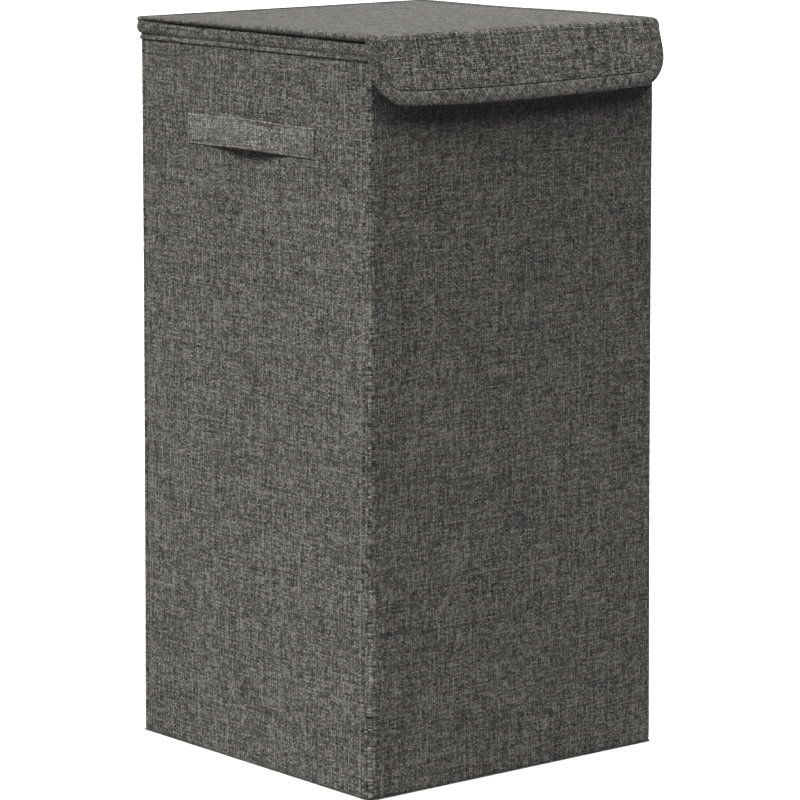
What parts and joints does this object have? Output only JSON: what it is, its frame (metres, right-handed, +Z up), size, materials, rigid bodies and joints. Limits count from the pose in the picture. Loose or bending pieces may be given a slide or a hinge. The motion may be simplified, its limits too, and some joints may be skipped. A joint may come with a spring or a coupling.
{
  "type": "laundry hamper with lid",
  "caption": "Tall square fabric laundry hamper with stiff board walls, a back-hinged lid with a folding front flap, side strap handles and a loose base board.",
  "frame": {"origin": "middle of the base, on the floor", "axes": "+Z up, -Y towards the front where the lid's flap hangs, +X towards the right-hand handle seen from the front"},
  "size_m": [0.3436, 0.3414, 0.6495],
  "materials": {
    "cover_fabric": "grey linen-look woven polyester",
    "binding_tape": "the same fabric cut on the bias or folded as tape",
    "strap_fabric": "the same fabric folded into a flat strap",
    "lining": "dark grey non-woven polypropylene, point bonded",
    "board": "grey-brown chipboard"
  },
  "bodies": {
    "body": {"base_cover": "cover_fabric", "base_lining": "lining", "front_cover": "cover_fabric", "back_cover": "cover_fabric", "left_cover": "cover_fabric", "right_cover": "cover_fabric", "front_board": "board", "back_board": "board", "left_board": "board", "right_board": "board", "front_lining": "lining", "back_lining": "lining", "left_lining": "lining", "right_lining": "lining", "rim_binding": "binding_tape", "hinge_strip": "cover_fabric", "left_handle": "strap_fabric", "right_handle": "strap_fabric"},
    "lid": {"lid_cover": "cover_fabric", "lid_board": "board", "lid_lining": "lining", "lid_binding": "binding_tape"},
    "flap": {"flap_cover": "cover_fabric", "flap_board": "board", "flap_lining": "lining", "flap_binding": "binding_tape"},
    "insert": {"insert_board": "board", "insert_cover": "lining"}
  },
  "joints": [
    {"name": "lid_hinge", "type": "hinge", "parent": "body", "child": "lid", "pos_m": [0, 0.1626, 0.65], "axis": [-1, 0, 0], "range_deg": [0, 262]},
    {"name": "flap_fold", "type": "hinge", "parent": "lid", "child": "flap", "pos_m": [0, -0.1628, 0.6487], "axis": [-1, 0, 0], "range_deg": [-2, 95]},
    {"name": "insert_lift", "type": "slide", "parent": "body", "child": "insert", "axis": [0, 0, 1], "range_m": [0, 0.6]}
  ]
}
